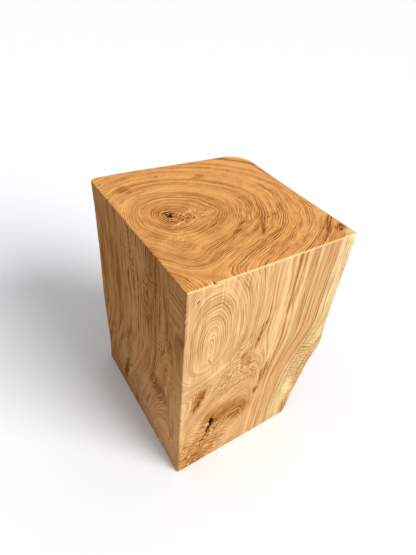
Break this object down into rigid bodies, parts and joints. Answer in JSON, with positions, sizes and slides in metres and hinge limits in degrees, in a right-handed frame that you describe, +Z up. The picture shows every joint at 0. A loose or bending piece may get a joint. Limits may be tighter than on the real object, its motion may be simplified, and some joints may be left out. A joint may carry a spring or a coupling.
{
  "type": "wood block stool",
  "caption": "Solid wood block stool or side table, sawn flat on its front, left side and ends, with natural trunk surface on the right and back, eased edges and a bark pocket.",
  "frame": {"origin": "middle of the foot, on the surface that the block stands on", "axes": "+X to the right as seen from the sawn front, +Y from the front to the back, +Z up along the trunk"},
  "size_m": [0.31, 0.3339, 0.45],
  "materials": {
    "oak": "oiled, satin"
  },
  "bodies": {
    "root": {"block": "oak"}
  },
  "joints": []
}
